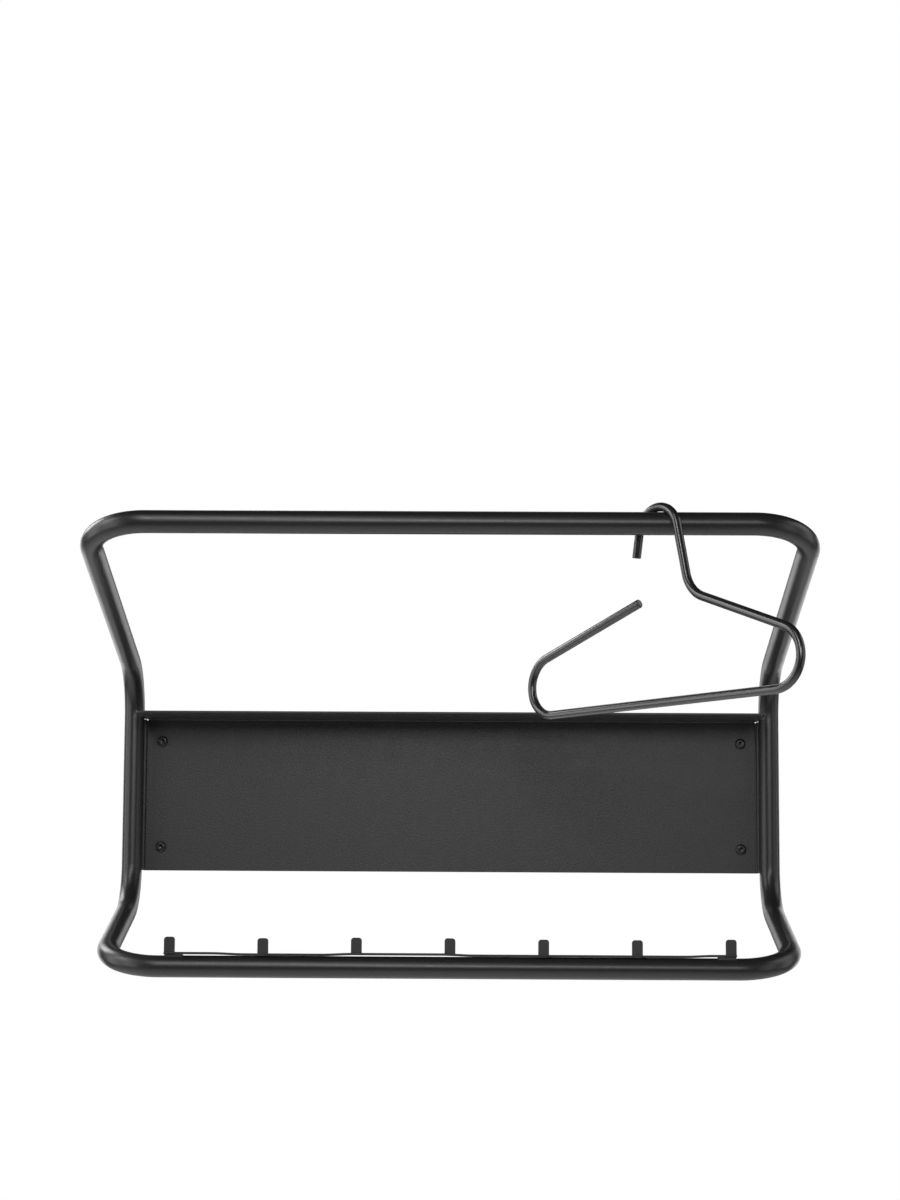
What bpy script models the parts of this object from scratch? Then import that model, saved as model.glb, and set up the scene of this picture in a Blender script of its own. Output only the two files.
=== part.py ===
"""Wall-mounted coat rack: a loop of bent tube around a folded back panel with a shelf, a strip of hooks on the
lower rail and one rod hanger on the upper rail.

Frame: +X along the rails, -Y out into the room, +Z up. The wall is the plane y = 0, and the origin is the centre
of the back panel's rear face. Everything is in metres.
"""

import math

import bmesh
import bpy
from mathutils import Vector

GAP = 0.0003  # between pieces that touch

# Tube loop. Its centre lines lie in the plane y = -TUBE_R at the wall.
TUBE_R = 0.011
TUBE_WALL = 0.0015
TUBE_SIDES = 16
FRAME_HALF_WIDTH = 0.3475
TUBE_BEND_R = 0.0593
UPPER_CORNER_Z = 0.1288  # where the upright's centre line meets the upper arm's
LOWER_CORNER_Z = -0.1188
JOINT_Z = 0.5 * (UPPER_CORNER_Z + LOWER_CORNER_Z)
UPPER_ARM = 0.3688
UPPER_LEAN = math.radians(73.8)  # from the vertical, out into the room
LOWER_ARM = 0.2139
LOWER_LEAN = math.radians(71.2)
SLEEVE_LENGTH = 0.070
SLEEVE_WALL = 0.0015

# Back panel, one folded sheet
SHEET = 0.002
SHEET_BEND_R = 0.0008  # inside the fold
PANEL_HALF_HEIGHT = 0.084
PANEL_HALF_WIDTH = FRAME_HALF_WIDTH - TUBE_R - GAP
RETURN_DEPTH = 0.011  # side returns, out from the wall
SHELF_DEPTH = 0.0747  # shelf's front edge, out from the wall
SHELF_CORNER_R = 0.003
CORNER_RELIEF = 0.001  # height of the slit between a side return and the shelf's fold

# Wall screws
SCREW_X = 0.3175
SCREW_Z = 0.058
SCREW_HOLE_R = 0.0031
SCREW_HEAD_R = 0.0058
SCREW_HEAD_HEIGHT = 0.0032
SCREW_HEAD_RIM = 0.0008
SCREW_SHANK_R = 0.0027
SCREW_LENGTH = 0.030  # under the head
SCREW_POINT = 0.005
SOCKET_WIDTH = 0.004  # across the hexagon's flats
SOCKET_DEPTH = 0.002
SCREW_SIDES = 18

# Hook strip
STRIP_SHEET = 0.0024
STRIP_BEND_R = 0.0008
STRIP_CLEARANCE = 0.0010  # over the top of the rail
STRIP_DEPTH = 0.0130  # flat part, back edge to the fold
STRIP_OFFSET_X = 0.0018
HOOK_COUNT = 7
HOOK_PITCH = 0.0929
HOOK_WIDTH = 0.0108
HOOK_HEIGHT = 0.0174  # from the strip's underside
HOOK_CORNER_R = 0.0030
HOOK_FLARE = 0.0008
FOOT_LENGTH = 0.0170
FOOT_SLANT = 0.0025

# Hanger. It hangs in an upright plane turned from the wall's by HANGER_TURN.
ROD_R = 0.0043
ROD_SIDES = 12
HANGER_X = 0.1976
HANGER_TURN = math.radians(49.0)
HANGER_LIFT = 0.0005  # of the rod's underside over the rail, where its crown crosses
HOOK_ARC_R = 0.0250
BACK_FLARE = math.radians(9.6)
FRONT_FLARE = math.radians(13.3)
TIP_DROP = 0.0452  # everything below is measured from the crown's centre line
NECK_REACH = 0.0400
BAR_DROP = 0.1863
RIGHT_SLOPE = math.radians(21.1)
LEFT_SLOPE = math.radians(17.2)
LEFT_END = -0.3389  # where the left shoulder's line would meet the bar's
FREE_END = -0.0250
NECK_BEND_R = 0.033
LOOP_BEND_R = 0.0291

POWDER_BLACK = (0.035, 0.035, 0.036, 1.0)
SCREW_BLACK = (0.022, 0.022, 0.023, 1.0)
BARE_STEEL = (0.45, 0.45, 0.44, 1.0)


def clear_scene():
    for obj in list(bpy.data.objects):
        bpy.data.objects.remove(obj, do_unlink=True)


def metal(name, colour, roughness, metallic):
    material = bpy.data.materials.new(name)
    material.use_nodes = True
    shader = material.node_tree.nodes["Principled BSDF"]
    shader.inputs["Base Color"].default_value = colour
    shader.inputs["Roughness"].default_value = roughness
    shader.inputs["Metallic"].default_value = metallic
    return material


def add_object(name, bm, material, origin=(0.0, 0.0, 0.0), smooth_angle=35.0):
    """Makes an object of a bmesh given in world space, with its origin moved to `origin`."""
    bmesh.ops.translate(bm, verts=bm.verts, vec=-Vector(origin))
    bmesh.ops.recalc_face_normals(bm, faces=bm.faces)
    mesh = bpy.data.meshes.new(name)
    bm.to_mesh(mesh)
    bm.free()
    mesh.shade_smooth()
    mesh.set_sharp_from_angle(angle=math.radians(smooth_angle))
    mesh.materials.append(material)
    obj = bpy.data.objects.new(name, mesh)
    obj.location = origin
    bpy.context.scene.collection.objects.link(obj)
    return obj


def rounded_path(corners, radii, steps):
    """A centre line through `corners`, each inner corner rounded to its radius in its number of steps."""
    path = [corners[0]]
    for i in range(1, len(corners) - 1):
        corner = corners[i]
        back = (corners[i - 1] - corner).normalized()
        ahead = (corners[i + 1] - corner).normalized()
        half_angle = 0.5 * back.angle(ahead)
        centre = corner + (back + ahead).normalized() * (radii[i - 1] / math.sin(half_angle))
        start = corner + back * (radii[i - 1] / math.tan(half_angle)) - centre
        end = corner + ahead * (radii[i - 1] / math.tan(half_angle)) - centre
        turn = start.angle(end)
        for k in range(steps[i - 1] + 1):
            share = k / steps[i - 1]
            spoke = start * math.sin((1 - share) * turn) + end * math.sin(share * turn)
            path.append(centre + spoke / math.sin(turn))
    path.append(corners[-1])
    return path


def rings_along(bm, path, radius, sides, across):
    """One ring of vertices at each point of the path. `across` is any direction that no stretch runs along."""
    rings = []
    for i, point in enumerate(path):
        ahead = path[min(i + 1, len(path) - 1)] - point
        behind = point - path[max(i - 1, 0)]
        along = (ahead.normalized() + behind.normalized()).normalized()
        across = (across - along * across.dot(along)).normalized()
        side = along.cross(across)
        ring = []
        for k in range(sides):
            angle = 2 * math.pi * k / sides
            ring.append(bm.verts.new(point + radius * (across * math.cos(angle) + side * math.sin(angle))))
        rings.append(ring)
    return rings


def bridge(bm, first, second):
    count = len(first)
    for k in range(count):
        j = (k + 1) % count
        bm.faces.new((first[k], first[j], second[j], second[k]))


def tube_mesh(path, outer_r, inner_r, sides, across):
    """A tube along the path, open at both ends, or a solid rod if inner_r is 0."""
    bm = bmesh.new()
    outside = rings_along(bm, path, outer_r, sides, across)
    for first, second in zip(outside, outside[1:]):
        bridge(bm, first, second)
    if inner_r > 0:
        inside = rings_along(bm, path, inner_r, sides, across)
        for first, second in zip(inside, inside[1:]):
            bridge(bm, second, first)
        bridge(bm, inside[0], outside[0])
        bridge(bm, outside[-1], inside[-1])
    else:
        bm.faces.new(reversed(outside[0]))
        bm.faces.new(outside[-1])
    return bm


def turned_mesh(profile, sides):
    """A closed solid turned about the Y axis from (radius, y) points. A radius can be a function of the angle."""
    bm = bmesh.new()
    rings = []
    for radius, y in profile:
        ring = []
        for k in range(sides):
            angle = 2 * math.pi * k / sides
            r = radius(angle) if callable(radius) else radius
            ring.append(bm.verts.new((r * math.cos(angle), y, r * math.sin(angle))))
        rings.append(ring)
    for first, second in zip(rings, rings[1:]):
        bridge(bm, first, second)
    bm.faces.new(rings[0])
    bm.faces.new(reversed(rings[-1]))
    return bm


def sheet_mesh(cells, thickness, place):
    """A sheet of flat cells, each a list of (u, v) points, closed at its edges. place(u, v, t) gives the folded
    point, with t from 0 to the thickness through the sheet."""
    bm = bmesh.new()
    layers = ({}, {})

    def vertex(layer, u, v):
        key = (round(u * 1e7), round(v * 1e7))
        if key not in layers[layer]:
            layers[layer][key] = bm.verts.new(place(u, v, layer * thickness))
        return layers[layer][key]

    edge_use = {}
    for cell in cells:
        bm.faces.new([vertex(1, u, v) for u, v in cell])
        bm.faces.new([vertex(0, u, v) for u, v in reversed(cell)])
        for a, b in zip(cell, cell[1:] + cell[:1]):
            edge = frozenset((vertex(0, *a), vertex(0, *b)))
            edge_use.setdefault(edge, []).append((a, b))
    for uses in edge_use.values():
        if len(uses) == 1:
            a, b = uses[0]
            bm.faces.new((vertex(0, *a), vertex(0, *b), vertex(1, *b), vertex(1, *a)))
    return bm


def corner_stations(end, half_width, corner_r, steps):
    """(v, half width) pairs that round off the two corners of a tab which ends at v = end."""
    stations = []
    for k in range(steps + 1):
        angle = 0.5 * math.pi * k / steps
        stations.append((end - corner_r + corner_r * math.sin(angle),
                         half_width - corner_r + corner_r * math.cos(angle)))
    return stations


def tab_cells(centre, stations):
    """Cells between successive (v, half width) stations of a tab, symmetric about u = centre."""
    cells = []
    for (v0, w0), (v1, w1) in zip(stations, stations[1:]):
        cells.append([(centre - w0, v0), (centre + w0, v0), (centre + w1, v1), (centre - w1, v1)])
    return cells


def arm_end(corner_z, length, lean, rise):
    """The end of an arm's centre line, in the side plane x = 0. `rise` is 1 for the upper arms, -1 for the lower."""
    return Vector((0.0, -TUBE_R - length * math.sin(lean), corner_z + rise * length * math.cos(lean)))


UPPER_RAIL = arm_end(UPPER_CORNER_Z, UPPER_ARM, UPPER_LEAN, 1)
LOWER_RAIL = arm_end(LOWER_CORNER_Z, LOWER_ARM, LOWER_LEAN, -1)


def frame_half(name, joint_z, corner_z, rail, material):
    """Half of the tube loop, from its joint in one upright round to its joint in the other."""
    side = Vector((FRAME_HALF_WIDTH, 0.0, 0.0))
    foot = Vector((0.0, -TUBE_R, joint_z))
    corner = Vector((0.0, -TUBE_R, corner_z))
    corners = [foot - side, corner - side, rail - side, rail + side, corner + side, foot + side]
    path = rounded_path(corners, [TUBE_BEND_R] * 4, [7, 8, 8, 7])
    bm = tube_mesh(path, TUBE_R, TUBE_R - TUBE_WALL, TUBE_SIDES, Vector((1.0, 0.0, 0.0)))
    return add_object(name, bm, material)


def joint_sleeve(name, x, material):
    half = Vector((0.0, 0.0, 0.5 * SLEEVE_LENGTH))
    centre = Vector((x, -TUBE_R, JOINT_Z))
    outer_r = TUBE_R - TUBE_WALL - GAP
    bm = tube_mesh([centre - half, centre + half], outer_r, outer_r - SLEEVE_WALL, TUBE_SIDES,
                   Vector((1.0, 0.0, 0.0)))
    return add_object(name, bm, material)


def back_panel(material):
    """Flat pattern: u along X, v up. The sides and the top fold out towards the room, past fold_u and fold_v."""
    outer_bend = SHEET_BEND_R + SHEET
    fold_u = PANEL_HALF_WIDTH - outer_bend
    fold_v = PANEL_HALF_HEIGHT - outer_bend
    quarter = 0.5 * math.pi
    bend_steps = 3

    def folded(excess, t):
        """How far a point past a fold lies beyond the fold's line, and how far out from the wall."""
        r = outer_bend - t
        angle = min(excess, quarter)
        straight = max(excess - quarter, 0.0)
        return r * math.sin(angle), outer_bend - r * math.cos(angle) + straight

    def place(u, v, t):
        if v > fold_v:
            beyond, out = folded(v - fold_v, t)
            return Vector((u, -out, fold_v + beyond))
        if abs(u) > fold_u:
            beyond, out = folded(abs(u) - fold_u, t)
            return Vector((math.copysign(fold_u + beyond, u), -out, v))
        return Vector((u, -t, v))

    # Past a fold's line, u and v count the fold's angle in radians first, then metres along the flange.
    bend = [quarter * k / bend_steps for k in range(bend_steps + 1)]
    return_end = quarter + RETURN_DEPTH - outer_bend
    shelf_end = quarter + SHELF_DEPTH - outer_bend
    inner_v = fold_v - CORNER_RELIEF
    plain_u = SCREW_X - 4 * SCREW_HOLE_R  # the screw holes stay clear of the middle of the panel
    columns = [-fold_u, -plain_u, plain_u, fold_u]
    cells = []
    for u0, u1 in zip(columns, columns[1:]):
        cells.append([(u0, -PANEL_HALF_HEIGHT), (u1, -PANEL_HALF_HEIGHT), (u1, inner_v), (u0, inner_v)])
    cells.append([(u, inner_v) for u in columns] + [(fold_u, fold_v), (-fold_u, fold_v)])
    for excess0, excess1 in zip(bend, bend[1:] + [return_end]):
        u0, u1 = fold_u + excess0, fold_u + excess1
        cells.append([(u0, -PANEL_HALF_HEIGHT), (u1, -PANEL_HALF_HEIGHT), (u1, inner_v), (u0, inner_v)])
        cells.append([(-u1, -PANEL_HALF_HEIGHT), (-u0, -PANEL_HALF_HEIGHT), (-u0, inner_v), (-u1, inner_v)])
    for excess0, excess1 in zip(bend, bend[1:]):
        v0, v1 = fold_v + excess0, fold_v + excess1
        cells.append([(-fold_u, v0), (fold_u, v0), (fold_u, v1), (-fold_u, v1)])
    shelf_v = fold_v + quarter
    stations = corner_stations(fold_v + shelf_end, PANEL_HALF_WIDTH, SHELF_CORNER_R, 4)
    first_v, first_w = stations[0]
    cells.append([(-first_w, shelf_v), (-fold_u, shelf_v), (fold_u, shelf_v), (first_w, shelf_v),
                  (first_w, first_v), (-first_w, first_v)])
    cells += tab_cells(0.0, stations)
    panel = add_object("back_panel", sheet_mesh(cells, SHEET, place), material)

    cutter_mesh = bmesh.new()
    for x in (-SCREW_X, SCREW_X):
        for z in (-SCREW_Z, SCREW_Z):
            ends = [Vector((x, SHEET, z)), Vector((x, -2 * SHEET, z))]
            rings = rings_along(cutter_mesh, ends, SCREW_HOLE_R, SCREW_SIDES, Vector((1.0, 0.0, 0.0)))
            bridge(cutter_mesh, *rings)
            cutter_mesh.faces.new(reversed(rings[0]))
            cutter_mesh.faces.new(rings[1])
    cutter = add_object("screw_hole_cutter", cutter_mesh, material)
    cutter.hide_render = True
    cutter.display_type = "WIRE"
    holes = panel.modifiers.new("screw_holes", "BOOLEAN")
    holes.operation = "DIFFERENCE"
    holes.object = cutter
    return panel


def wall_screw(name, x, z, material):
    """A button-head screw with a hexagon socket. Its own origin is on its axis, at the wall."""
    under_head = -SHEET - GAP
    top = under_head - SCREW_HEAD_HEIGHT
    dome_height = SCREW_HEAD_HEIGHT - SCREW_HEAD_RIM
    crown_r = 0.55 * SCREW_HEAD_R
    dome_steps = 4

    def hexagon(angle):
        off_flat = (angle + math.pi / 6) % (math.pi / 3) - math.pi / 6
        return 0.5 * SOCKET_WIDTH / math.cos(off_flat)

    profile = [(hexagon, top + SOCKET_DEPTH), (hexagon, top)]
    for k in range(dome_steps + 1):
        angle = 0.5 * math.pi * k / dome_steps
        profile.append((crown_r + (SCREW_HEAD_R - crown_r) * math.sin(angle),
                        top + dome_height * (1 - math.cos(angle))))
    shank_end = under_head + SCREW_LENGTH
    profile += [(SCREW_HEAD_R, under_head), (SCREW_SHANK_R, under_head),
                (SCREW_SHANK_R, shank_end - SCREW_POINT), (0.15 * SCREW_SHANK_R, shank_end)]
    bm = turned_mesh(profile, SCREW_SIDES)
    bmesh.ops.translate(bm, verts=bm.verts, vec=Vector((x, 0.0, z)))
    return add_object(name, bm, material, origin=(x, 0.0, z))


def strip_underside():
    return LOWER_RAIL.z + TUBE_R + STRIP_CLEARANCE


def strip_back():
    """The y of the strip's back edge. The flat part is centred over the rail."""
    return LOWER_RAIL.y + 0.5 * STRIP_DEPTH


def hook_strip(material):
    """Flat pattern: u along X, v from the back edge forwards. Each hook folds up past v = STRIP_DEPTH."""
    outer_bend = STRIP_BEND_R + STRIP_SHEET
    quarter = 0.5 * math.pi
    bend_steps = 4

    def place(u, v, t):
        if v <= STRIP_DEPTH:
            return Vector((u, strip_back() - v, strip_underside() + t))
        r = outer_bend - t
        angle = min(v - STRIP_DEPTH, quarter)
        straight = max(v - STRIP_DEPTH - quarter, 0.0)
        return Vector((u, strip_back() - STRIP_DEPTH - r * math.sin(angle),
                       strip_underside() + outer_bend - r * math.cos(angle) + straight))

    # Past the fold's line, v counts the fold's angle in radians first, then metres up the hook.
    half_width = 0.5 * HOOK_WIDTH
    foot_half_width = half_width + HOOK_FLARE
    stations = [(STRIP_DEPTH, foot_half_width)]
    for k in range(1, bend_steps + 1):
        stations.append((STRIP_DEPTH + quarter * k / bend_steps, half_width))
    hook_end = STRIP_DEPTH + quarter + HOOK_HEIGHT - outer_bend
    stations += corner_stations(hook_end, half_width, HOOK_CORNER_R, 4)

    centres = [STRIP_OFFSET_X + HOOK_PITCH * (i - 0.5 * (HOOK_COUNT - 1)) for i in range(HOOK_COUNT)]
    cells = []
    columns = []
    for centre in centres:
        columns += [centre - foot_half_width, centre + foot_half_width]
        cells += tab_cells(centre, stations)
    for u0, u1 in zip(columns, columns[1:]):
        cells.append([(u0, 0.0), (u1, 0.0), (u1, STRIP_DEPTH), (u0, STRIP_DEPTH)])
    return add_object("hook_strip", sheet_mesh(cells, STRIP_SHEET, place), material)


def strip_foot(name, side, material):
    """A block between the strip's end and the round rail. `side` is -1 for the left end and 1 for the right."""
    outer_x = STRIP_OFFSET_X + side * (0.5 * HOOK_PITCH * (HOOK_COUNT - 1) + 0.5 * HOOK_WIDTH)
    top = strip_underside() - GAP
    saddle_r = TUBE_R + GAP
    half_depth = 0.5 * STRIP_DEPTH
    saddle_steps = 8
    outline = [(-half_depth, top), (half_depth, top)]
    for k in range(saddle_steps + 1):
        out = half_depth * (1 - 2 * k / saddle_steps)
        outline.append((out, LOWER_RAIL.z + math.sqrt(saddle_r**2 - out**2)))
    bm = bmesh.new()
    rings = []
    for is_inner in (False, True):
        ring = []
        for out, z in outline:
            below = (top - z) / (top - LOWER_RAIL.z - math.sqrt(saddle_r**2 - half_depth**2))
            x = outer_x - side * (FOOT_LENGTH + FOOT_SLANT * below) if is_inner else outer_x
            ring.append(bm.verts.new((x, LOWER_RAIL.y + out, z)))
        rings.append(ring)
    bridge(bm, *rings)
    bm.faces.new(rings[0])
    bm.faces.new(reversed(rings[1]))
    return add_object(name, bm, material)


def hanger_path():
    """The rod's centre line as (s, 0, z) points, s along the hanger's plane and z down from the hook's crown."""
    first = -0.5 * math.pi + BACK_FLARE
    last = 0.5 * math.pi - FRONT_FLARE
    arc_steps = 12
    arc = []
    for k in range(arc_steps + 1):
        angle = first + (last - first) * k / arc_steps
        arc.append(Vector((HOOK_ARC_R * math.sin(angle), 0.0, HOOK_ARC_R * (math.cos(angle) - 1))))
    back = arc[0]
    tip = Vector((back.x - (back.z + TIP_DROP) * math.tan(BACK_FLARE), 0.0, -TIP_DROP))
    front = arc[-1]
    neck = Vector((NECK_REACH, 0.0, front.z - (NECK_REACH - front.x) / math.tan(FRONT_FLARE)))
    right_end = NECK_REACH + (neck.z + BAR_DROP) / math.tan(RIGHT_SLOPE)
    free_end = Vector((FREE_END, 0.0, (FREE_END - LEFT_END) * math.tan(LEFT_SLOPE) - BAR_DROP))
    corners = [front, neck, Vector((right_end, 0.0, -BAR_DROP)), Vector((LEFT_END, 0.0, -BAR_DROP)), free_end]
    lower = rounded_path(corners, [NECK_BEND_R, LOOP_BEND_R, LOOP_BEND_R], [5, 11, 11])
    return [tip] + arc + lower[1:]


def hanger_rod(material):
    along = Vector((math.cos(HANGER_TURN), -math.sin(HANGER_TURN), 0.0))
    rail = Vector((HANGER_X, UPPER_RAIL.y, UPPER_RAIL.z))
    crown = rail + Vector((0.0, 0.0, TUBE_R + HANGER_LIFT + ROD_R))
    path = [crown + along * p.x + Vector((0.0, 0.0, p.z)) for p in hanger_path()]
    bm = tube_mesh(path, ROD_R, 0.0, ROD_SIDES, along.cross(Vector((0.0, 0.0, 1.0))))
    return add_object("hanger_rod", bm, material, origin=rail)


def build():
    clear_scene()
    powder = metal("black_powder_coat", POWDER_BLACK, 0.55, 0.0)
    hanger_coat = metal("hanger_powder_coat", POWDER_BLACK, 0.45, 0.0)
    sheet_coat = metal("panel_powder_coat", POWDER_BLACK, 0.6, 0.0)
    strip_coat = metal("strip_powder_coat", POWDER_BLACK, 0.55, 0.0)
    screw_finish = metal("blackened_screw", SCREW_BLACK, 0.35, 0.4)
    bare = metal("bare_steel", BARE_STEEL, 0.4, 1.0)
    frame_half("upper_frame_tube", JOINT_Z + 0.5 * GAP, UPPER_CORNER_Z, UPPER_RAIL, powder)
    frame_half("lower_frame_tube", JOINT_Z - 0.5 * GAP, LOWER_CORNER_Z, LOWER_RAIL, powder)
    joint_sleeve("left_joint_sleeve", -FRAME_HALF_WIDTH, bare)
    joint_sleeve("right_joint_sleeve", FRAME_HALF_WIDTH, bare)
    back_panel(sheet_coat)
    number = 1
    for x in (-SCREW_X, SCREW_X):
        for z in (SCREW_Z, -SCREW_Z):
            wall_screw(f"wall_screw_{number}", x, z, screw_finish)
            number += 1
    hook_strip(strip_coat)
    strip_foot("strip_foot_left", -1, strip_coat)
    strip_foot("strip_foot_right", 1, strip_coat)
    hanger_rod(hanger_coat)


build()
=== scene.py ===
"""Looks of the wall-mounted coat rack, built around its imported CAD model.

Frame: +X along the rails, -Y out into the room, +Z up. The wall is the plane y = 0. Everything is in metres.
"""

import math

import bmesh
import bpy
from mathutils import Matrix, Vector


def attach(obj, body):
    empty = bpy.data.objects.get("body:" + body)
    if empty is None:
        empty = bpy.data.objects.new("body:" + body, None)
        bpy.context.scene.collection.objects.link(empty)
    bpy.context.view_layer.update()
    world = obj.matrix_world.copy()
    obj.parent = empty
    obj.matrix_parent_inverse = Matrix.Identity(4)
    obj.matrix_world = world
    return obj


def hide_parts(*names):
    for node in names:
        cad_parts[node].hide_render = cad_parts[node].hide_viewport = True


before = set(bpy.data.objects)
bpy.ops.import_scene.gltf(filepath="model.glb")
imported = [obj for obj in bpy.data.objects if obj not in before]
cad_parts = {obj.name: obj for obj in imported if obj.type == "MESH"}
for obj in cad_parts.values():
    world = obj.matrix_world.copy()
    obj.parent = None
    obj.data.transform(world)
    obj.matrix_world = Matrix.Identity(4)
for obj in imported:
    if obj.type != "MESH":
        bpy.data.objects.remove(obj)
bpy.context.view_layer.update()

# The CAD source's dimensions, explained there
GAP = 0.0003  # under the screw heads
CONTACT = 0.00003  # where welded pieces meet, in place of the CAD's GAP
TUBE_R = 0.011
TUBE_WALL = 0.0015
FRAME_HALF_WIDTH = 0.3475
TUBE_BEND_R = 0.0593
UPPER_CORNER_Z = 0.1288
LOWER_CORNER_Z = -0.1188
UPPER_ARM = 0.3688
UPPER_LEAN = math.radians(73.8)
LOWER_ARM = 0.2139
LOWER_LEAN = math.radians(71.2)
SHEET = 0.002
SHEET_BEND_R = 0.0008
PANEL_HALF_HEIGHT = 0.084
PANEL_HALF_WIDTH = FRAME_HALF_WIDTH - TUBE_R - CONTACT
RETURN_DEPTH = 0.011
SHELF_DEPTH = 0.0747
SHELF_CORNER_R = 0.003
SCREW_X = 0.3175
SCREW_Z = 0.058
SCREW_HOLE_R = 0.0031
SCREW_HEAD_R = 0.0058
SCREW_HEAD_HEIGHT = 0.0032
SCREW_HEAD_RIM = 0.0008
SCREW_SHANK_R = 0.0027
SCREW_LENGTH = 0.030
SOCKET_WIDTH = 0.004
SOCKET_DEPTH = 0.002
STRIP_SHEET = 0.0024
STRIP_BEND_R = 0.0008
STRIP_CLEARANCE = 0.0010
STRIP_DEPTH = 0.0130
STRIP_OFFSET_X = 0.0018
HOOK_COUNT = 7
HOOK_PITCH = 0.0929
HOOK_WIDTH = 0.0108
HOOK_HEIGHT = 0.0174
HOOK_CORNER_R = 0.0030
HOOK_FLARE = 0.0008
FOOT_LENGTH = 0.0170
FOOT_SLANT = 0.0025
ROD_R = 0.0043
HANGER_X = 0.1976
HANGER_TURN = math.radians(49.0)
HANGER_LIFT = 0.0005
HOOK_ARC_R = 0.0250
BACK_FLARE = math.radians(9.6)
FRONT_FLARE = math.radians(13.3)
TIP_DROP = 0.0452
NECK_REACH = 0.0400
BAR_DROP = 0.1863
RIGHT_SLOPE = math.radians(21.1)
LEFT_SLOPE = math.radians(17.2)
LEFT_END = -0.3389
FREE_END = -0.0250
NECK_BEND_R = 0.033
LOOP_BEND_R = 0.02914  # the CAD's is 0.0291, but its coarser loops end 0.1 mm short of these

# Details that only the visible model has
PANEL_EDGE_R = 0.00025  # of the coated edges
STRIP_EDGE_R = 0.0004
FOOT_EDGE_R = 0.00025
STRIP_SAG = 0.00096  # of a strip that isn't quite straight
STRIP_DIPS = ((-0.205, -0.125), (0.025, 0.235))  # where along X it comes down to the rail
STRIP_DIP_RAMP = 0.030
ROD_END_R = 0.0007  # of the rod's deburred ends
THREAD_PITCH = 0.0022
THREAD_START = 0.0045  # under the screw's head
THREAD_POINT = 0.006
THREAD_STEPS = 132
THREAD_CORE_R = 0.68 * SCREW_SHANK_R

# How finely the visible surfaces are cut
TUBE_SIDES = 56
ROD_SIDES = 36
BEND_STEP = math.radians(3.0)
FOLD_STEPS = 8
CORNER_STEPS = 8
SAG_STEPS = 12  # between one hook and the next
SADDLE_STEPS = 20
SCREW_SIDES = 48
DOME_STEPS = 12
ROD_END_STEPS = 4

CHARCOAL = (0.030, 0.030, 0.0305)
BLACK = (0.020, 0.020, 0.0205)

QUARTER = 0.5 * math.pi
UP = Vector((0.0, 0.0, 1.0))


# ---------------------------------------------------------------- meshes

def corner_arc(before, corner, after, radius):
    """Points that round off one corner of a path."""
    back = (before - corner).normalized()
    ahead = (after - corner).normalized()
    half_angle = 0.5 * back.angle(ahead)
    centre = corner + (back + ahead).normalized() * (radius / math.sin(half_angle))
    start = corner + back * (radius / math.tan(half_angle)) - centre
    end = corner + ahead * (radius / math.tan(half_angle)) - centre
    turn = start.angle(end)
    steps = max(4, math.ceil(turn / BEND_STEP))
    return [centre + (start * math.sin((1 - k / steps) * turn) + end * math.sin(k / steps * turn)) / math.sin(turn)
            for k in range(steps + 1)]


def rings_along(bm, path, radii, sides, across, closed=False):
    """One ring of vertices at each point of the path, turned along it without twist."""
    count = len(path)
    rings = []
    last = None
    for i, point in enumerate(path):
        ahead = path[(i + 1) % count] - point if closed or i + 1 < count else point - path[i - 1]
        behind = point - path[i - 1] if closed or i else ahead
        along = (ahead.normalized() + behind.normalized()).normalized()
        if last is None:
            across = (across - along * across.dot(along)).normalized()
        else:
            across = last.rotation_difference(along) @ across
        last = along
        side = along.cross(across)
        rings.append([bm.verts.new(point + radii[i] * (across * math.cos(a) + side * math.sin(a)))
                      for a in (2 * math.pi * k / sides for k in range(sides))])
    return rings


def bridge(bm, first, second):
    count = len(first)
    for k in range(count):
        j = (k + 1) % count
        bm.faces.new((first[k], first[j], second[j], second[k]))


def finish_mesh(name, bm, material, body, stands_for, recalculate=True, sharp_angle=None):
    """Makes a visible piece of a bmesh, riding on `body` in place of the CAD nodes in `stands_for`."""
    if recalculate:
        bmesh.ops.recalc_face_normals(bm, faces=bm.faces)
    mesh = bpy.data.meshes.new(name)
    bm.to_mesh(mesh)
    bm.free()
    mesh.shade_smooth()
    if sharp_angle:
        mesh.set_sharp_from_angle(angle=sharp_angle)
    mesh.materials.append(material)
    obj = bpy.data.objects.new(name, mesh)
    bpy.context.scene.collection.objects.link(obj)
    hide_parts(*stands_for)
    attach(obj, body)
    return obj


def soften(obj, width, segments=3, angle=40.0):
    """Rounds the sharp edges, as the coat does on cut steel."""
    bevel = obj.modifiers.new("rounded_edges", "BEVEL")
    bevel.width = width
    bevel.segments = segments
    bevel.limit_method = "ANGLE"
    bevel.angle_limit = math.radians(angle)
    bevel.use_clamp_overlap = False
    normals = obj.modifiers.new("even_normals", "WEIGHTED_NORMAL")
    normals.weight = 60
    normals.keep_sharp = True
    return obj


def sheet_mesh(cells, thickness, place):
    """A sheet of flat cells, each a list of (u, v) points, closed at its edges. place(u, v, t) gives the folded
    point, with t from 0 to the thickness through the sheet."""
    bm = bmesh.new()
    layers = ({}, {})

    def vertex(layer, u, v):
        key = (round(u * 1e7), round(v * 1e7))
        if key not in layers[layer]:
            layers[layer][key] = bm.verts.new(place(u, v, layer * thickness))
        return layers[layer][key]

    edge_use = {}
    for cell in cells:
        bm.faces.new([vertex(1, u, v) for u, v in cell])
        bm.faces.new([vertex(0, u, v) for u, v in reversed(cell)])
        for a, b in zip(cell, cell[1:] + cell[:1]):
            edge = frozenset((vertex(0, *a), vertex(0, *b)))
            edge_use.setdefault(edge, []).append((a, b))
    for uses in edge_use.values():
        if len(uses) == 1:
            a, b = uses[0]
            bm.faces.new((vertex(0, *a), vertex(0, *b), vertex(1, *b), vertex(1, *a)))
    return bm


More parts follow.
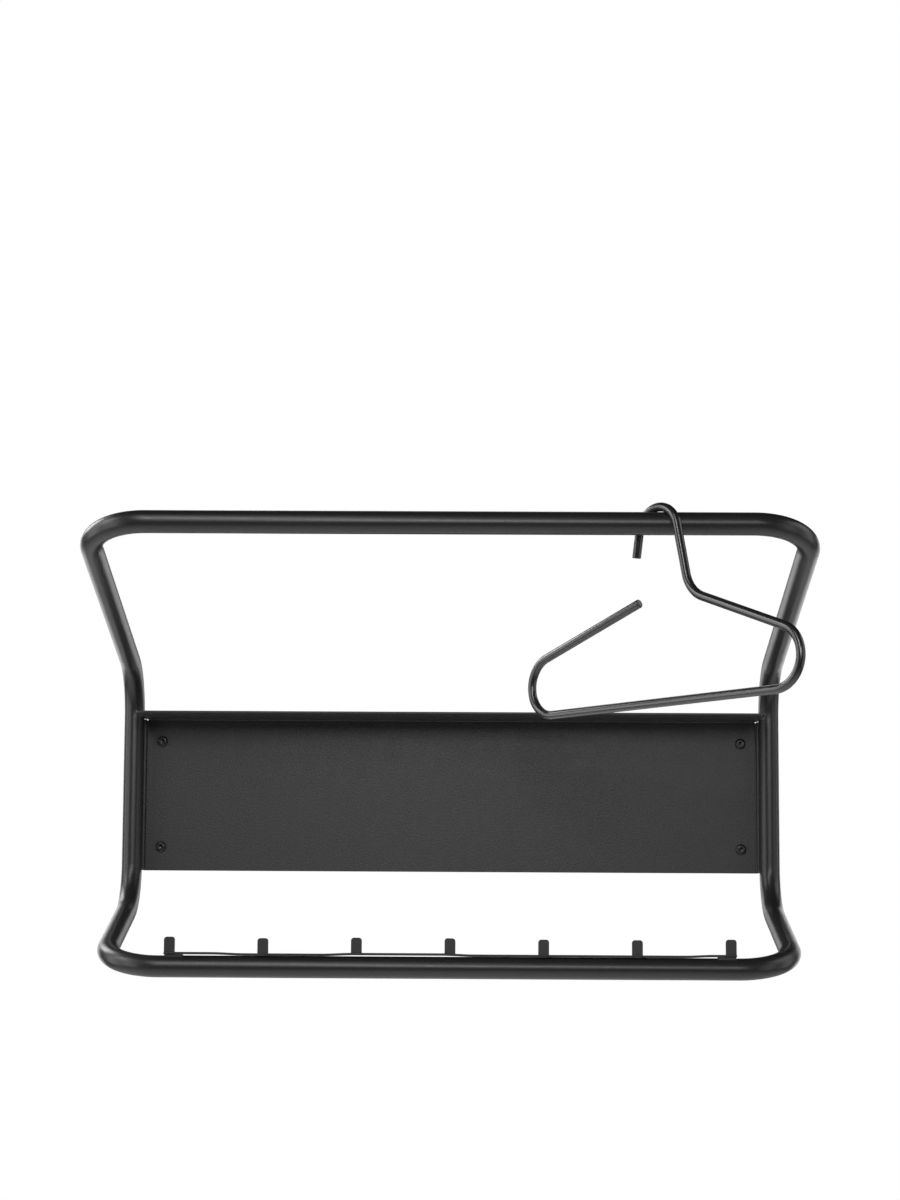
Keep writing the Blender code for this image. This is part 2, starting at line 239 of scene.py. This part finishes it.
def cut_corners(corners, radius_at):
    """A convex cell whose corners are rounded outwards (radius > 0) or notched by a hole (radius < 0)."""
    cell = []
    count = len(corners)
    for i, corner in enumerate(corners):
        radius = radius_at(corner)
        if not radius:
            cell.append(corner)
            continue
        here = Vector(corner)
        to_last = (Vector(corners[i - 1]) - here).normalized()
        to_next = (Vector(corners[(i + 1) % count]) - here).normalized()
        for k in range(CORNER_STEPS + 1):
            angle = QUARTER * k / CORNER_STEPS
            if radius < 0:
                point = here - radius * (to_last * math.cos(angle) + to_next * math.sin(angle))
            else:
                point = here + radius * (to_last * (1 - math.sin(angle)) + to_next * (1 - math.cos(angle)))
            cell.append(tuple(point))
    return cell


# ---------------------------------------------------------------- the frame's loop of tube

def arm_end(corner_z, length, lean, rise):
    return Vector((0.0, -TUBE_R - length * math.sin(lean), corner_z + rise * length * math.cos(lean)))


UPPER_RAIL = arm_end(UPPER_CORNER_Z, UPPER_ARM, UPPER_LEAN, 1)
LOWER_RAIL = arm_end(LOWER_CORNER_Z, LOWER_ARM, LOWER_LEAN, -1)


def frame_tube(material):
    """The whole loop in one piece: the joints in the uprights are ground flush under the coat."""
    side = Vector((FRAME_HALF_WIDTH, 0.0, 0.0))
    upper = Vector((0.0, -TUBE_R, UPPER_CORNER_Z))
    lower = Vector((0.0, -TUBE_R, LOWER_CORNER_Z))
    corners = [upper - side, UPPER_RAIL - side, UPPER_RAIL + side, upper + side,
               lower + side, LOWER_RAIL + side, LOWER_RAIL - side, lower - side]
    path = []
    for i, corner in enumerate(corners):
        path += corner_arc(corners[i - 1], corner, corners[(i + 1) % len(corners)], TUBE_BEND_R)
    bm = bmesh.new()
    for radius, is_outer in ((TUBE_R, True), (TUBE_R - TUBE_WALL, False)):
        rings = rings_along(bm, path, [radius] * len(path), TUBE_SIDES, Vector((1.0, 0.0, 0.0)), closed=True)
        for first, second in zip(rings, rings[1:] + rings[:1]):
            if is_outer:
                bridge(bm, first, second)
            else:
                bridge(bm, second, first)
    return finish_mesh("frame_tube", bm, material, "rack",
                       ["upper_frame_tube", "lower_frame_tube"], recalculate=False)


# ---------------------------------------------------------------- the folded panel

def back_panel(material):
    """Flat pattern: u along X, v up. The sides and the top fold out towards the room, past fold_u and fold_v."""
    outer_bend = SHEET_BEND_R + SHEET
    fold_u = PANEL_HALF_WIDTH - outer_bend
    fold_v = PANEL_HALF_HEIGHT - outer_bend

    def folded(excess, t):
        r = outer_bend - t
        angle = min(excess, QUARTER)
        return r * math.sin(angle), outer_bend - r * math.cos(angle) + max(excess - QUARTER, 0.0)

    def place(u, v, t):
        if v > fold_v:
            beyond, out = folded(v - fold_v, t)
            return Vector((u, -out, fold_v + beyond))
        if abs(u) > fold_u:
            beyond, out = folded(abs(u) - fold_u, t)
            return Vector((math.copysign(fold_u + beyond, u), -out, v))
        return Vector((u, -t, v))

    def hole(corner):
        at_screw = abs(abs(corner[0]) - SCREW_X) < 1e-6 and abs(abs(corner[1]) - SCREW_Z) < 1e-6
        return -SCREW_HOLE_R if at_screw else 0.0

    bend = [QUARTER * k / FOLD_STEPS for k in range(FOLD_STEPS + 1)]
    return_end = fold_u + QUARTER + RETURN_DEPTH - outer_bend
    shelf_v = fold_v + QUARTER
    shelf_end = shelf_v + SHELF_DEPTH - outer_bend
    right = [fold_u] + [fold_u + angle for angle in bend[1:]] + [return_end]
    columns = [-u for u in reversed(right)] + [-SCREW_X, SCREW_X] + right
    rows = [-PANEL_HALF_HEIGHT, -SCREW_Z, 0.0, SCREW_Z, fold_v]
    cells = []
    for u0, u1 in zip(columns, columns[1:]):
        for v0, v1 in zip(rows, rows[1:]):
            cells.append(cut_corners([(u0, v0), (u1, v0), (u1, v1), (u0, v1)], hole))
    across = [-fold_u, -SCREW_X, SCREW_X, fold_u]
    for angle0, angle1 in zip(bend, bend[1:]):
        v0, v1 = fold_v + angle0, fold_v + angle1
        for u0, u1 in zip(across, across[1:]):
            cells.append([(u0, v0), (u1, v0), (u1, v1), (u0, v1)])
    shelf = cut_corners([(-PANEL_HALF_WIDTH, shelf_v), (PANEL_HALF_WIDTH, shelf_v),
                         (PANEL_HALF_WIDTH, shelf_end), (-PANEL_HALF_WIDTH, shelf_end)],
                        lambda corner: SHELF_CORNER_R if corner[1] == shelf_end else 0.0)
    fold_line = [(u, shelf_v) for u in [-PANEL_HALF_WIDTH] + across + [PANEL_HALF_WIDTH]]
    cells.append(fold_line + shelf[2:])
    panel = finish_mesh("back_panel_sheet", sheet_mesh(cells, SHEET, place), material, "rack",
                        ["back_panel"])
    return soften(panel, PANEL_EDGE_R)


# ---------------------------------------------------------------- the wall screws

def wall_screw(number, x, z, material):
    """A button-head screw with a hexagon socket and a wood thread."""
    under_head = -SHEET - GAP
    top = under_head - SCREW_HEAD_HEIGHT
    dome_height = SCREW_HEAD_HEIGHT - SCREW_HEAD_RIM
    crown_r = 0.55 * SCREW_HEAD_R
    shank_end = under_head + SCREW_LENGTH
    thread_start = under_head + THREAD_START

    def hexagon(grown):
        """The socket's outline, `grown` times its size."""
        def radius(angle):
            off_flat = (angle + math.pi / 6) % (math.pi / 3) - math.pi / 6
            return grown * 0.5 * SOCKET_WIDTH / math.cos(off_flat)
        return radius

    def thread(y):
        """The thread's outline at y. It runs in from the plain shank and tapers off towards the point."""
        taper = min(1.0, (shank_end - y) / THREAD_POINT)
        run_in = min(1.0, (y - thread_start) / THREAD_PITCH)

        def radius(angle):
            phase = ((y - thread_start) / THREAD_PITCH - angle / (2 * math.pi)) % 1.0
            crest = max(0.0, 1 - abs(phase - 0.5) / 0.34)
            return (THREAD_CORE_R * (0.12 + 0.88 * taper ** 0.8)
                    + (SCREW_SHANK_R - THREAD_CORE_R) * crest * run_in * min(1.0, 1.6 * taper))
        return radius

    socket_floor = top + SOCKET_DEPTH
    profile = [(hexagon(0.02), socket_floor + 0.0004), (hexagon(0.96), socket_floor),
               (hexagon(1.0), socket_floor - 0.0001), (hexagon(1.0), top + 0.0002),
               (hexagon(1.05), top + 0.00006), (hexagon(1.13), top)]
    for k in range(DOME_STEPS + 1):
        angle = QUARTER * k / DOME_STEPS
        profile.append((crown_r + (SCREW_HEAD_R - crown_r) * math.sin(angle),
                        top + dome_height * (1 - math.cos(angle))))
    profile += [(SCREW_HEAD_R, under_head - 0.0002), (SCREW_HEAD_R - 0.0002, under_head),
                (SCREW_SHANK_R + 0.0002, under_head), (SCREW_SHANK_R, under_head + 0.0002),
                (0.9 * SCREW_SHANK_R, thread_start - 0.0008), (THREAD_CORE_R, thread_start)]
    for k in range(1, THREAD_STEPS):
        y = thread_start + (shank_end - thread_start) * k / THREAD_STEPS
        profile.append((thread(y), y))
    bm = bmesh.new()
    rings = []
    for radius, y in profile:
        ring = []
        for k in range(SCREW_SIDES):
            angle = 2 * math.pi * k / SCREW_SIDES
            r = radius(angle) if callable(radius) else radius
            ring.append(bm.verts.new((x + r * math.cos(angle), y, z + r * math.sin(angle))))
        rings.append(ring)
    for first, second in zip(rings, rings[1:]):
        bridge(bm, first, second)
    bm.faces.new(rings[0])
    bm.faces.new(reversed(rings[-1]))
    return finish_mesh(f"screw_{number}", bm, material, "rack", [f"wall_screw_{number}"],
                       sharp_angle=math.radians(35.0))


# ---------------------------------------------------------------- the hook strip and its feet

STRIP_UNDERSIDE = LOWER_RAIL.z + TUBE_R + STRIP_CLEARANCE
STRIP_BACK = LOWER_RAIL.y + 0.5 * STRIP_DEPTH


def hook_strip(material):
    """Flat pattern: u along X, v from the back edge forwards. Each hook folds up past v = STRIP_DEPTH."""
    outer_bend = STRIP_BEND_R + STRIP_SHEET

    def sag(u):
        """The strip isn't quite straight: over the stretches in STRIP_DIPS it comes down to the rail."""
        lowest = 0.0
        for start, end in STRIP_DIPS:
            outside = max(start - u, u - end, 0.0)
            lowest = max(lowest, 0.5 + 0.5 * math.cos(math.pi * min(outside / STRIP_DIP_RAMP, 1.0)))
        return STRIP_SAG * lowest

    def place(u, v, t):
        underside = STRIP_UNDERSIDE - sag(u)
        if v <= STRIP_DEPTH:
            return Vector((u, STRIP_BACK - v, underside + t))
        r = outer_bend - t
        angle = min(v - STRIP_DEPTH, QUARTER)
        straight = max(v - STRIP_DEPTH - QUARTER, 0.0)
        return Vector((u, STRIP_BACK - STRIP_DEPTH - r * math.sin(angle),
                       underside + outer_bend - r * math.cos(angle) + straight))

    half_width = 0.5 * HOOK_WIDTH
    foot_half_width = half_width + HOOK_FLARE
    bends = [STRIP_DEPTH + QUARTER * k / FOLD_STEPS for k in range(FOLD_STEPS + 1)]
    hook_end = bends[-1] + HOOK_HEIGHT - outer_bend
    flare_steps = 3  # of the bend, over which the hook's foot narrows
    widths = [half_width + HOOK_FLARE * max(0.0, 1 - k / flare_steps) ** 2 for k in range(FOLD_STEPS + 1)]
    cells = []
    columns = []
    for i in range(HOOK_COUNT):
        centre = STRIP_OFFSET_X + HOOK_PITCH * (i - 0.5 * (HOOK_COUNT - 1))
        columns += [centre - foot_half_width, centre + foot_half_width]
        for v0, v1, w0, w1 in zip(bends, bends[1:], widths, widths[1:]):
            cells.append([(centre - w0, v0), (centre + w0, v0), (centre + w1, v1), (centre - w1, v1)])
        v0 = bends[-1]
        cells.append(cut_corners([(centre - half_width, v0), (centre + half_width, v0),
                                  (centre + half_width, hook_end), (centre - half_width, hook_end)],
                                 lambda corner: HOOK_CORNER_R if corner[1] == hook_end else 0.0))
    for i, (left, right) in enumerate(zip(columns, columns[1:])):
        parts = SAG_STEPS if i % 2 else 1  # the columns come in pairs, one pair to a hook
        for k in range(parts):
            u0 = left + (right - left) * k / parts
            u1 = left + (right - left) * (k + 1) / parts
            cells.append([(u0, 0.0), (u1, 0.0), (u1, STRIP_DEPTH), (u0, STRIP_DEPTH)])
    strip = finish_mesh("strip_with_hooks", sheet_mesh(cells, STRIP_SHEET, place), material, "rack",
                        ["hook_strip"])
    return soften(strip, STRIP_EDGE_R)


def strip_foot(name, side, material):
    """A block between the strip's end and the round rail, hollowed to sit on it."""
    outer_x = STRIP_OFFSET_X + side * (0.5 * HOOK_PITCH * (HOOK_COUNT - 1) + 0.5 * HOOK_WIDTH)
    top = STRIP_UNDERSIDE - CONTACT
    saddle_r = TUBE_R + CONTACT
    half_depth = 0.5 * STRIP_DEPTH
    outline = [(-half_depth, top), (half_depth, top)]
    for k in range(SADDLE_STEPS + 1):
        out = half_depth * (1 - 2 * k / SADDLE_STEPS)
        outline.append((out, LOWER_RAIL.z + math.sqrt(saddle_r**2 - out**2)))
    height = top - LOWER_RAIL.z - math.sqrt(saddle_r**2 - half_depth**2)
    bm = bmesh.new()
    rings = []
    for is_inner in (False, True):
        ring = []
        for out, z in outline:
            x = outer_x - side * (FOOT_LENGTH + FOOT_SLANT * (top - z) / height) if is_inner else outer_x
            ring.append(bm.verts.new((x, LOWER_RAIL.y + out, z)))
        rings.append(ring)
    bridge(bm, *rings)
    bm.faces.new(rings[0])
    bm.faces.new(reversed(rings[1]))
    foot = finish_mesh(name + "_block", bm, material, "rack", [name])
    return soften(foot, FOOT_EDGE_R, segments=2)


# ---------------------------------------------------------------- the hanger

def hanger_path():
    """The rod's centre line as (s, 0, z) points, s along the hanger's plane and z down from the hook's crown."""
    first = -QUARTER + BACK_FLARE
    last = QUARTER - FRONT_FLARE
    steps = math.ceil((last - first) / BEND_STEP)
    arc = []
    for k in range(steps + 1):
        angle = first + (last - first) * k / steps
        arc.append(Vector((HOOK_ARC_R * math.sin(angle), 0.0, HOOK_ARC_R * (math.cos(angle) - 1))))
    back, front = arc[0], arc[-1]
    tip = Vector((back.x - (back.z + TIP_DROP) * math.tan(BACK_FLARE), 0.0, -TIP_DROP))
    neck = Vector((NECK_REACH, 0.0, front.z - (NECK_REACH - front.x) / math.tan(FRONT_FLARE)))
    right_end = Vector((NECK_REACH + (neck.z + BAR_DROP) / math.tan(RIGHT_SLOPE), 0.0, -BAR_DROP))
    left_end = Vector((LEFT_END, 0.0, -BAR_DROP))
    free_end = Vector((FREE_END, 0.0, (FREE_END - LEFT_END) * math.tan(LEFT_SLOPE) - BAR_DROP))
    return ([tip] + arc + corner_arc(front, neck, right_end, NECK_BEND_R)
            + corner_arc(neck, right_end, left_end, LOOP_BEND_R)
            + corner_arc(right_end, left_end, free_end, LOOP_BEND_R) + [free_end])


def hanger_rod(material):
    along = Vector((math.cos(HANGER_TURN), -math.sin(HANGER_TURN), 0.0))
    crown = Vector((HANGER_X, UPPER_RAIL.y, UPPER_RAIL.z + TUBE_R + HANGER_LIFT + ROD_R))
    path = [crown + along * p.x + UP * p.z for p in hanger_path()]
    start, end = [], []
    for k in range(ROD_END_STEPS + 1):
        angle = QUARTER * k / ROD_END_STEPS
        radius = ROD_R - ROD_END_R * (1 - math.sin(angle))
        inwards = ROD_END_R * (1 - math.cos(angle))
        start.append((path[0] + (path[1] - path[0]).normalized() * inwards, radius))
        end.append((path[-1] + (path[-2] - path[-1]).normalized() * inwards, radius))
    stations = start + [(point, ROD_R) for point in path[1:-1]] + end[::-1]
    bm = bmesh.new()
    rings = rings_along(bm, [p for p, r in stations], [r for p, r in stations], ROD_SIDES, along.cross(UP))
    for first, second in zip(rings, rings[1:]):
        bridge(bm, first, second)
    bm.faces.new(reversed(rings[0]))
    bm.faces.new(rings[-1])
    return finish_mesh("clothes_hanger", bm, material, "hanger", ["hanger_rod"],
                       sharp_angle=math.radians(50.0))


# ---------------------------------------------------------------- materials

class Nodes:
    """A material's node tree, with short ways to add to it."""

    def __init__(self, name):
        self.material = bpy.data.materials.new(name)
        self.material.use_nodes = True
        self.tree = self.material.node_tree
        self.shader = self.tree.nodes["Principled BSDF"]
        self.place = self.add("ShaderNodeTexCoord").outputs["Object"]

    def add(self, kind, **settings):
        node = self.tree.nodes.new(kind)
        for key, value in settings.items():
            setattr(node, key, value)
        return node

    def link(self, output, target):
        self.tree.links.new(output, target)

    def noise(self, scale, detail=3.0, roughness=0.55, distortion=0.0):
        node = self.add("ShaderNodeTexNoise")
        node.inputs["Scale"].default_value = scale
        node.inputs["Detail"].default_value = detail
        node.inputs["Roughness"].default_value = roughness
        node.inputs["Distortion"].default_value = distortion
        self.link(self.place, node.inputs["Vector"])
        return node.outputs["Fac"]

    def ranged(self, value, low, high, out_low, out_high):
        node = self.add("ShaderNodeMapRange")
        for key, number in (("From Min", low), ("From Max", high), ("To Min", out_low), ("To Max", out_high)):
            node.inputs[key].default_value = number
        self.link(value, node.inputs["Value"])
        return node.outputs["Result"]

    def maths(self, operation, first, second):
        node = self.add("ShaderNodeMath", operation=operation)
        for socket, value in zip(node.inputs, (first, second)):
            if isinstance(value, (int, float)):
                socket.default_value = value
            else:
                self.link(value, socket)
        return node.outputs[0]

    def mixed(self, factor, first, second):
        node = self.add("ShaderNodeMix", data_type="RGBA")
        self.link(factor, node.inputs["Factor"])
        for socket, value in ((node.inputs["A"], first), (node.inputs["B"], second)):
            if isinstance(value, tuple):
                socket.default_value = (*value, 1.0)
            else:
                self.link(value, socket)
        return node.outputs["Result"]

    def bump(self, height, distance, strength=1.0):
        node = self.add("ShaderNodeBump")
        node.inputs["Distance"].default_value = distance
        node.inputs["Strength"].default_value = strength
        self.link(height, node.inputs["Height"])
        self.link(node.outputs["Normal"], self.shader.inputs["Normal"])


def scaled(colour, factor):
    return tuple(channel * factor for channel in colour)


def powder_coat(name, colour, roughness, grain=620.0, depth=0.00006, specular=0.5):
    """Fine-grained powder coat: small flat beads, a faint speckle, and sharp edges painted paler, partly for the
    thinner coat there and partly as a painted highlight along them. `grain` is in beads per metre, more or less,
    and `depth` is the beads' height."""
    n = Nodes(name)
    beads = n.noise(grain, detail=2.5, roughness=0.6)
    speckle = n.noise(1.9 * grain, detail=1.0)
    drift = n.noise(7.0, detail=3.0)
    cloud = n.noise(55.0, detail=4.0, roughness=0.65)
    tone = n.mixed(n.ranged(drift, 0.35, 0.65, 0.0, 1.0), scaled(colour, 0.96), scaled(colour, 1.04))
    tone = n.mixed(n.ranged(speckle, 0.54, 0.72, 0.0, 0.7), tone, scaled(colour, 2.0))
    # sharp edges painted paler: partly the thinner coat there, partly a painted highlight along them
    edge = n.ranged(n.add("ShaderNodeNewGeometry").outputs["Pointiness"], 0.54, 0.66, 0.0, 0.2)
    tone = n.mixed(edge, tone, scaled(colour, 1.5))
    n.link(tone, n.shader.inputs["Base Color"])
    rough = n.ranged(cloud, 0.3, 0.7, roughness - 0.02, roughness + 0.02)
    rough = n.maths("ADD", rough, n.ranged(beads, 0.3, 0.7, -0.04, 0.04))
    n.link(rough, n.shader.inputs["Roughness"])
    n.shader.inputs["Specular IOR Level"].default_value = specular
    n.bump(n.maths("ADD", beads, n.maths("MULTIPLY", cloud, 0.12)), depth)
    return n.material


def blackened_steel(name):
    """The screws' satin black finish over turned steel, with fine rings, and sharp edges painted pale as a painted
    glint.
    """
    n = Nodes(name)
    mottle = n.noise(420.0, detail=4.0, roughness=0.6)
    scuff = n.noise(1500.0, detail=2.0)
    tone = n.mixed(n.ranged(mottle, 0.3, 0.7, 0.0, 1.0), (0.022, 0.022, 0.023), (0.045, 0.045, 0.046))
    # sharp edges painted pale: a painted glint on the head's rim, the socket's mouth and the thread
    edge = n.ranged(n.add("ShaderNodeNewGeometry").outputs["Pointiness"], 0.52, 0.60, 0.0, 0.6)
    tone = n.mixed(edge, tone, (0.16, 0.16, 0.165))
    n.link(tone, n.shader.inputs["Base Color"])
    n.link(n.ranged(mottle, 0.3, 0.7, 0.20, 0.32), n.shader.inputs["Roughness"])
    n.shader.inputs["Metallic"].default_value = 0.55
    n.bump(n.maths("ADD", mottle, scuff), 0.00002)
    return n.material


def drawn_steel(name):
    """The bare sleeves inside the uprights: long draw marks, oil film and faint rust bloom."""
    n = Nodes(name)
    stretch = n.add("ShaderNodeMapping")
    stretch.inputs["Scale"].default_value = (900.0, 900.0, 14.0)
    n.link(n.place, stretch.inputs["Vector"])
    lines = n.add("ShaderNodeTexNoise")
    lines.inputs["Scale"].default_value = 1.0
    lines.inputs["Detail"].default_value = 3.0
    n.link(stretch.outputs["Vector"], lines.inputs["Vector"])
    streak = lines.outputs["Fac"]
    bloom = n.noise(60.0, detail=5.0, roughness=0.6)
    tone = n.mixed(n.ranged(streak, 0.3, 0.7, 0.0, 1.0), (0.36, 0.355, 0.345), (0.52, 0.515, 0.505))
    tone = n.mixed(n.ranged(bloom, 0.56, 0.78, 0.0, 0.6), tone, (0.24, 0.19, 0.15))
    n.link(tone, n.shader.inputs["Base Color"])
    n.link(n.ranged(bloom, 0.3, 0.8, 0.3, 0.55), n.shader.inputs["Roughness"])
    n.shader.inputs["Metallic"].default_value = 1.0
    n.bump(streak, 0.00003)
    return n.material


def pale_floor(name):
    """A pale floor that fades out into the white background all round."""
    n = Nodes(name)
    cloud = n.noise(1.6, detail=4.0)
    grain = n.noise(240.0, detail=2.0)
    tone = n.mixed(n.ranged(cloud, 0.3, 0.7, 0.0, 1.0), (0.79, 0.79, 0.785), (0.84, 0.84, 0.835))
    n.link(tone, n.shader.inputs["Base Color"])
    n.link(n.ranged(cloud, 0.3, 0.7, 0.6, 0.75), n.shader.inputs["Roughness"])
    n.bump(grain, 0.0003, strength=0.4)
    n.shader.inputs["Emission Color"].default_value = (1.0, 1.0, 1.0, 1.0)
    n.shader.inputs["Emission Strength"].default_value = 0.3
    level = n.add("ShaderNodeVectorMath", operation="MULTIPLY")
    level.inputs[1].default_value = (1.0, 1.0, 0.0)
    n.link(n.place, level.inputs[0])
    reach = n.add("ShaderNodeVectorMath", operation="LENGTH")
    n.link(level.outputs["Vector"], reach.inputs[0])
    fade = n.add("ShaderNodeMapRange", interpolation_type="SMOOTHSTEP")
    fade.inputs["From Min"].default_value = FLOOR_SOLID
    fade.inputs["From Max"].default_value = FLOOR_HALF
    n.link(reach.outputs["Value"], fade.inputs["Value"])
    blend = n.add("ShaderNodeMixShader")
    output = n.tree.nodes["Material Output"]
    n.link(fade.outputs["Result"], blend.inputs[0])
    n.link(n.shader.outputs[0], blend.inputs[1])
    n.link(n.add("ShaderNodeBsdfTransparent").outputs[0], blend.inputs[2])
    n.link(blend.outputs[0], output.inputs["Surface"])
    return n.material


# ---------------------------------------------------------------- the stage

CAMERA_AT = Vector((0.02007, -2.45805, -0.18116))
CAMERA_YAW = math.radians(-0.498)
CAMERA_PITCH = math.radians(5.758)
CAMERA_ROLL = math.radians(0.323)
CAMERA_LENS = 67.32  # mm, on a 36 mm long side
CAMERA_SHIFT_Y = 0.1125
FLOOR_Z = -0.95
FLOOR_SOLID = 0.5  # m from the middle, where it starts to fade
FLOOR_HALF = 2.6


def camera():
    data = bpy.data.cameras.new("photo_view")
    data.lens = CAMERA_LENS
    data.sensor_width = 36.0
    data.shift_y = CAMERA_SHIFT_Y
    forward = Vector((math.sin(CAMERA_YAW) * math.cos(CAMERA_PITCH),
                      math.cos(CAMERA_YAW) * math.cos(CAMERA_PITCH), math.sin(CAMERA_PITCH)))
    level = Vector((math.cos(CAMERA_YAW), -math.sin(CAMERA_YAW), 0.0))
    upright = level.cross(forward)
    right = level * math.cos(CAMERA_ROLL) + upright * math.sin(CAMERA_ROLL)
    top = upright * math.cos(CAMERA_ROLL) - level * math.sin(CAMERA_ROLL)
    obj = bpy.data.objects.new("photo_view", data)
    obj.matrix_world = Matrix.Translation(CAMERA_AT) @ Matrix((right, top, -forward)).transposed().to_4x4()
    bpy.context.scene.collection.objects.link(obj)
    bpy.context.scene.camera = obj


def area_light(name, at, towards, size, power):
    """A soft box that lights the rack but isn't seen itself."""
    data = bpy.data.lights.new(name, "AREA")
    data.shape = "RECTANGLE"
    data.size, data.size_y = size
    data.energy = power
    obj = bpy.data.objects.new(name, data)
    obj.location = at
    obj.rotation_mode = "QUATERNION"
    obj.rotation_quaternion = (Vector(towards) - Vector(at)).to_track_quat("-Z", "Y")
    obj.visible_camera = False
    bpy.context.scene.collection.objects.link(obj)


def studio():
    """Soft boxes all round at the rack's height, and a large key light high in front on the left."""
    centre = Vector((0.0, -0.15, 0.02))
    # azimuth from the front towards +X, elevation, distance, size in metres, power in watts
    for name, azimuth, elevation, distance, size, power in (
            ("left_front", -60.0, 0.0, 2.2, (0.9, 1.6), 8.4),
            ("left_side", -90.0, 0.0, 2.2, (0.9, 1.6), 9.0),
            ("left_rear", -150.0, 0.0, 2.2, (1.6, 1.6), 16.0),
            ("left_high", -75.0, 30.0, 2.4, (0.9, 0.9), 10.0),
            ("left_rear_high", -120.0, 30.0, 2.4, (0.9, 0.9), 18.0),
            ("right_front", 60.0, 0.0, 2.2, (0.9, 1.6), 4.0),
            ("right_side", 95.0, 0.0, 2.2, (0.9, 1.6), 5.0),
            ("right_rear", 150.0, 0.0, 2.2, (1.6, 1.6), 14.0),
            ("right_high", 90.0, 30.0, 2.4, (1.8, 0.9), 6.0),
            ("rear_high", 180.0, 40.0, 2.2, (1.2, 0.9), 2.9)):
        azimuth, elevation = math.radians(azimuth), math.radians(elevation)
        direction = Vector((math.sin(azimuth) * math.cos(elevation), -math.cos(azimuth) * math.cos(elevation),
                            math.sin(elevation)))
        area_light(name, centre + direction * distance, centre, size, power)
    front_y = -2.7
    for name, x, z, size, power in (("key_light", -0.65, 1.42, (0.6, 0.95), 12.5),
                                    ("front_light", -0.05, 0.65, (0.6, 0.6), 9.0),
                                    ("front_right", 0.75, 0.55, (0.8, 0.8), 5.0),
                                    ("top_light", -1.1, 2.65, (1.2, 1.5), 13.0)):
        area_light(name, (x, front_y, z), (x, 0.0, z), size, power)


def background():
    """Plain white to the camera. It casts no light, so that the soft boxes alone shape the tubes."""
    world = bpy.data.worlds.new("studio")
    world.use_nodes = True
    bpy.context.scene.world = world
    tree = world.node_tree
    tree.nodes.clear()
    seen = tree.nodes.new("ShaderNodeBackground")
    seen.inputs["Color"].default_value = (1.0, 1.0, 1.0, 1.0)
    cast = tree.nodes.new("ShaderNodeBackground")
    cast.inputs["Strength"].default_value = 0.0
    path = tree.nodes.new("ShaderNodeLightPath")
    choose = tree.nodes.new("ShaderNodeMixShader")
    output = tree.nodes.new("ShaderNodeOutputWorld")
    tree.links.new(path.outputs["Is Camera Ray"], choose.inputs[0])
    tree.links.new(cast.outputs[0], choose.inputs[1])
    tree.links.new(seen.outputs[0], choose.inputs[2])
    tree.links.new(choose.outputs[0], output.inputs["Surface"])


def floor(material):
    mesh = bpy.data.meshes.new("floor")
    corners = [(x * FLOOR_HALF, y * FLOOR_HALF, FLOOR_Z) for x, y in ((-1, -1), (1, -1), (1, 1), (-1, 1))]
    mesh.from_pydata(corners, [], [(0, 1, 2, 3)])
    mesh.materials.append(material)
    obj = bpy.data.objects.new("floor", mesh)
    bpy.context.scene.collection.objects.link(obj)


# ---------------------------------------------------------------- the scene

tube_coat = powder_coat("tube_powder_coat", BLACK, 0.33, depth=0.00004, specular=0.6)
sheet_coat = powder_coat("sheet_powder_coat", CHARCOAL, 0.42, grain=480.0, depth=0.00018)
strip_coat = powder_coat("strip_powder_coat", CHARCOAL, 0.40)
rod_coat = powder_coat("rod_powder_coat", BLACK, 0.23, grain=1300.0, depth=0.000006, specular=1.0)
screw_finish = blackened_steel("blackened_steel")
sleeve_steel = drawn_steel("drawn_steel")

frame_tube(tube_coat)
back_panel(sheet_coat)
screw_number = 1
for screw_x in (-SCREW_X, SCREW_X):
    for screw_z in (SCREW_Z, -SCREW_Z):
        wall_screw(screw_number, screw_x, screw_z, screw_finish)
        screw_number += 1
hook_strip(strip_coat)
strip_foot("strip_foot_left", -1, strip_coat)
strip_foot("strip_foot_right", 1, strip_coat)
hanger_rod(rod_coat)
for sleeve in ("left_joint_sleeve", "right_joint_sleeve"):
    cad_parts[sleeve].data.materials.clear()
    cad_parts[sleeve].data.materials.append(sleeve_steel)

floor(pale_floor("pale_floor"))
background()
studio()
camera()
bpy.context.scene.view_settings.view_transform = "Standard"
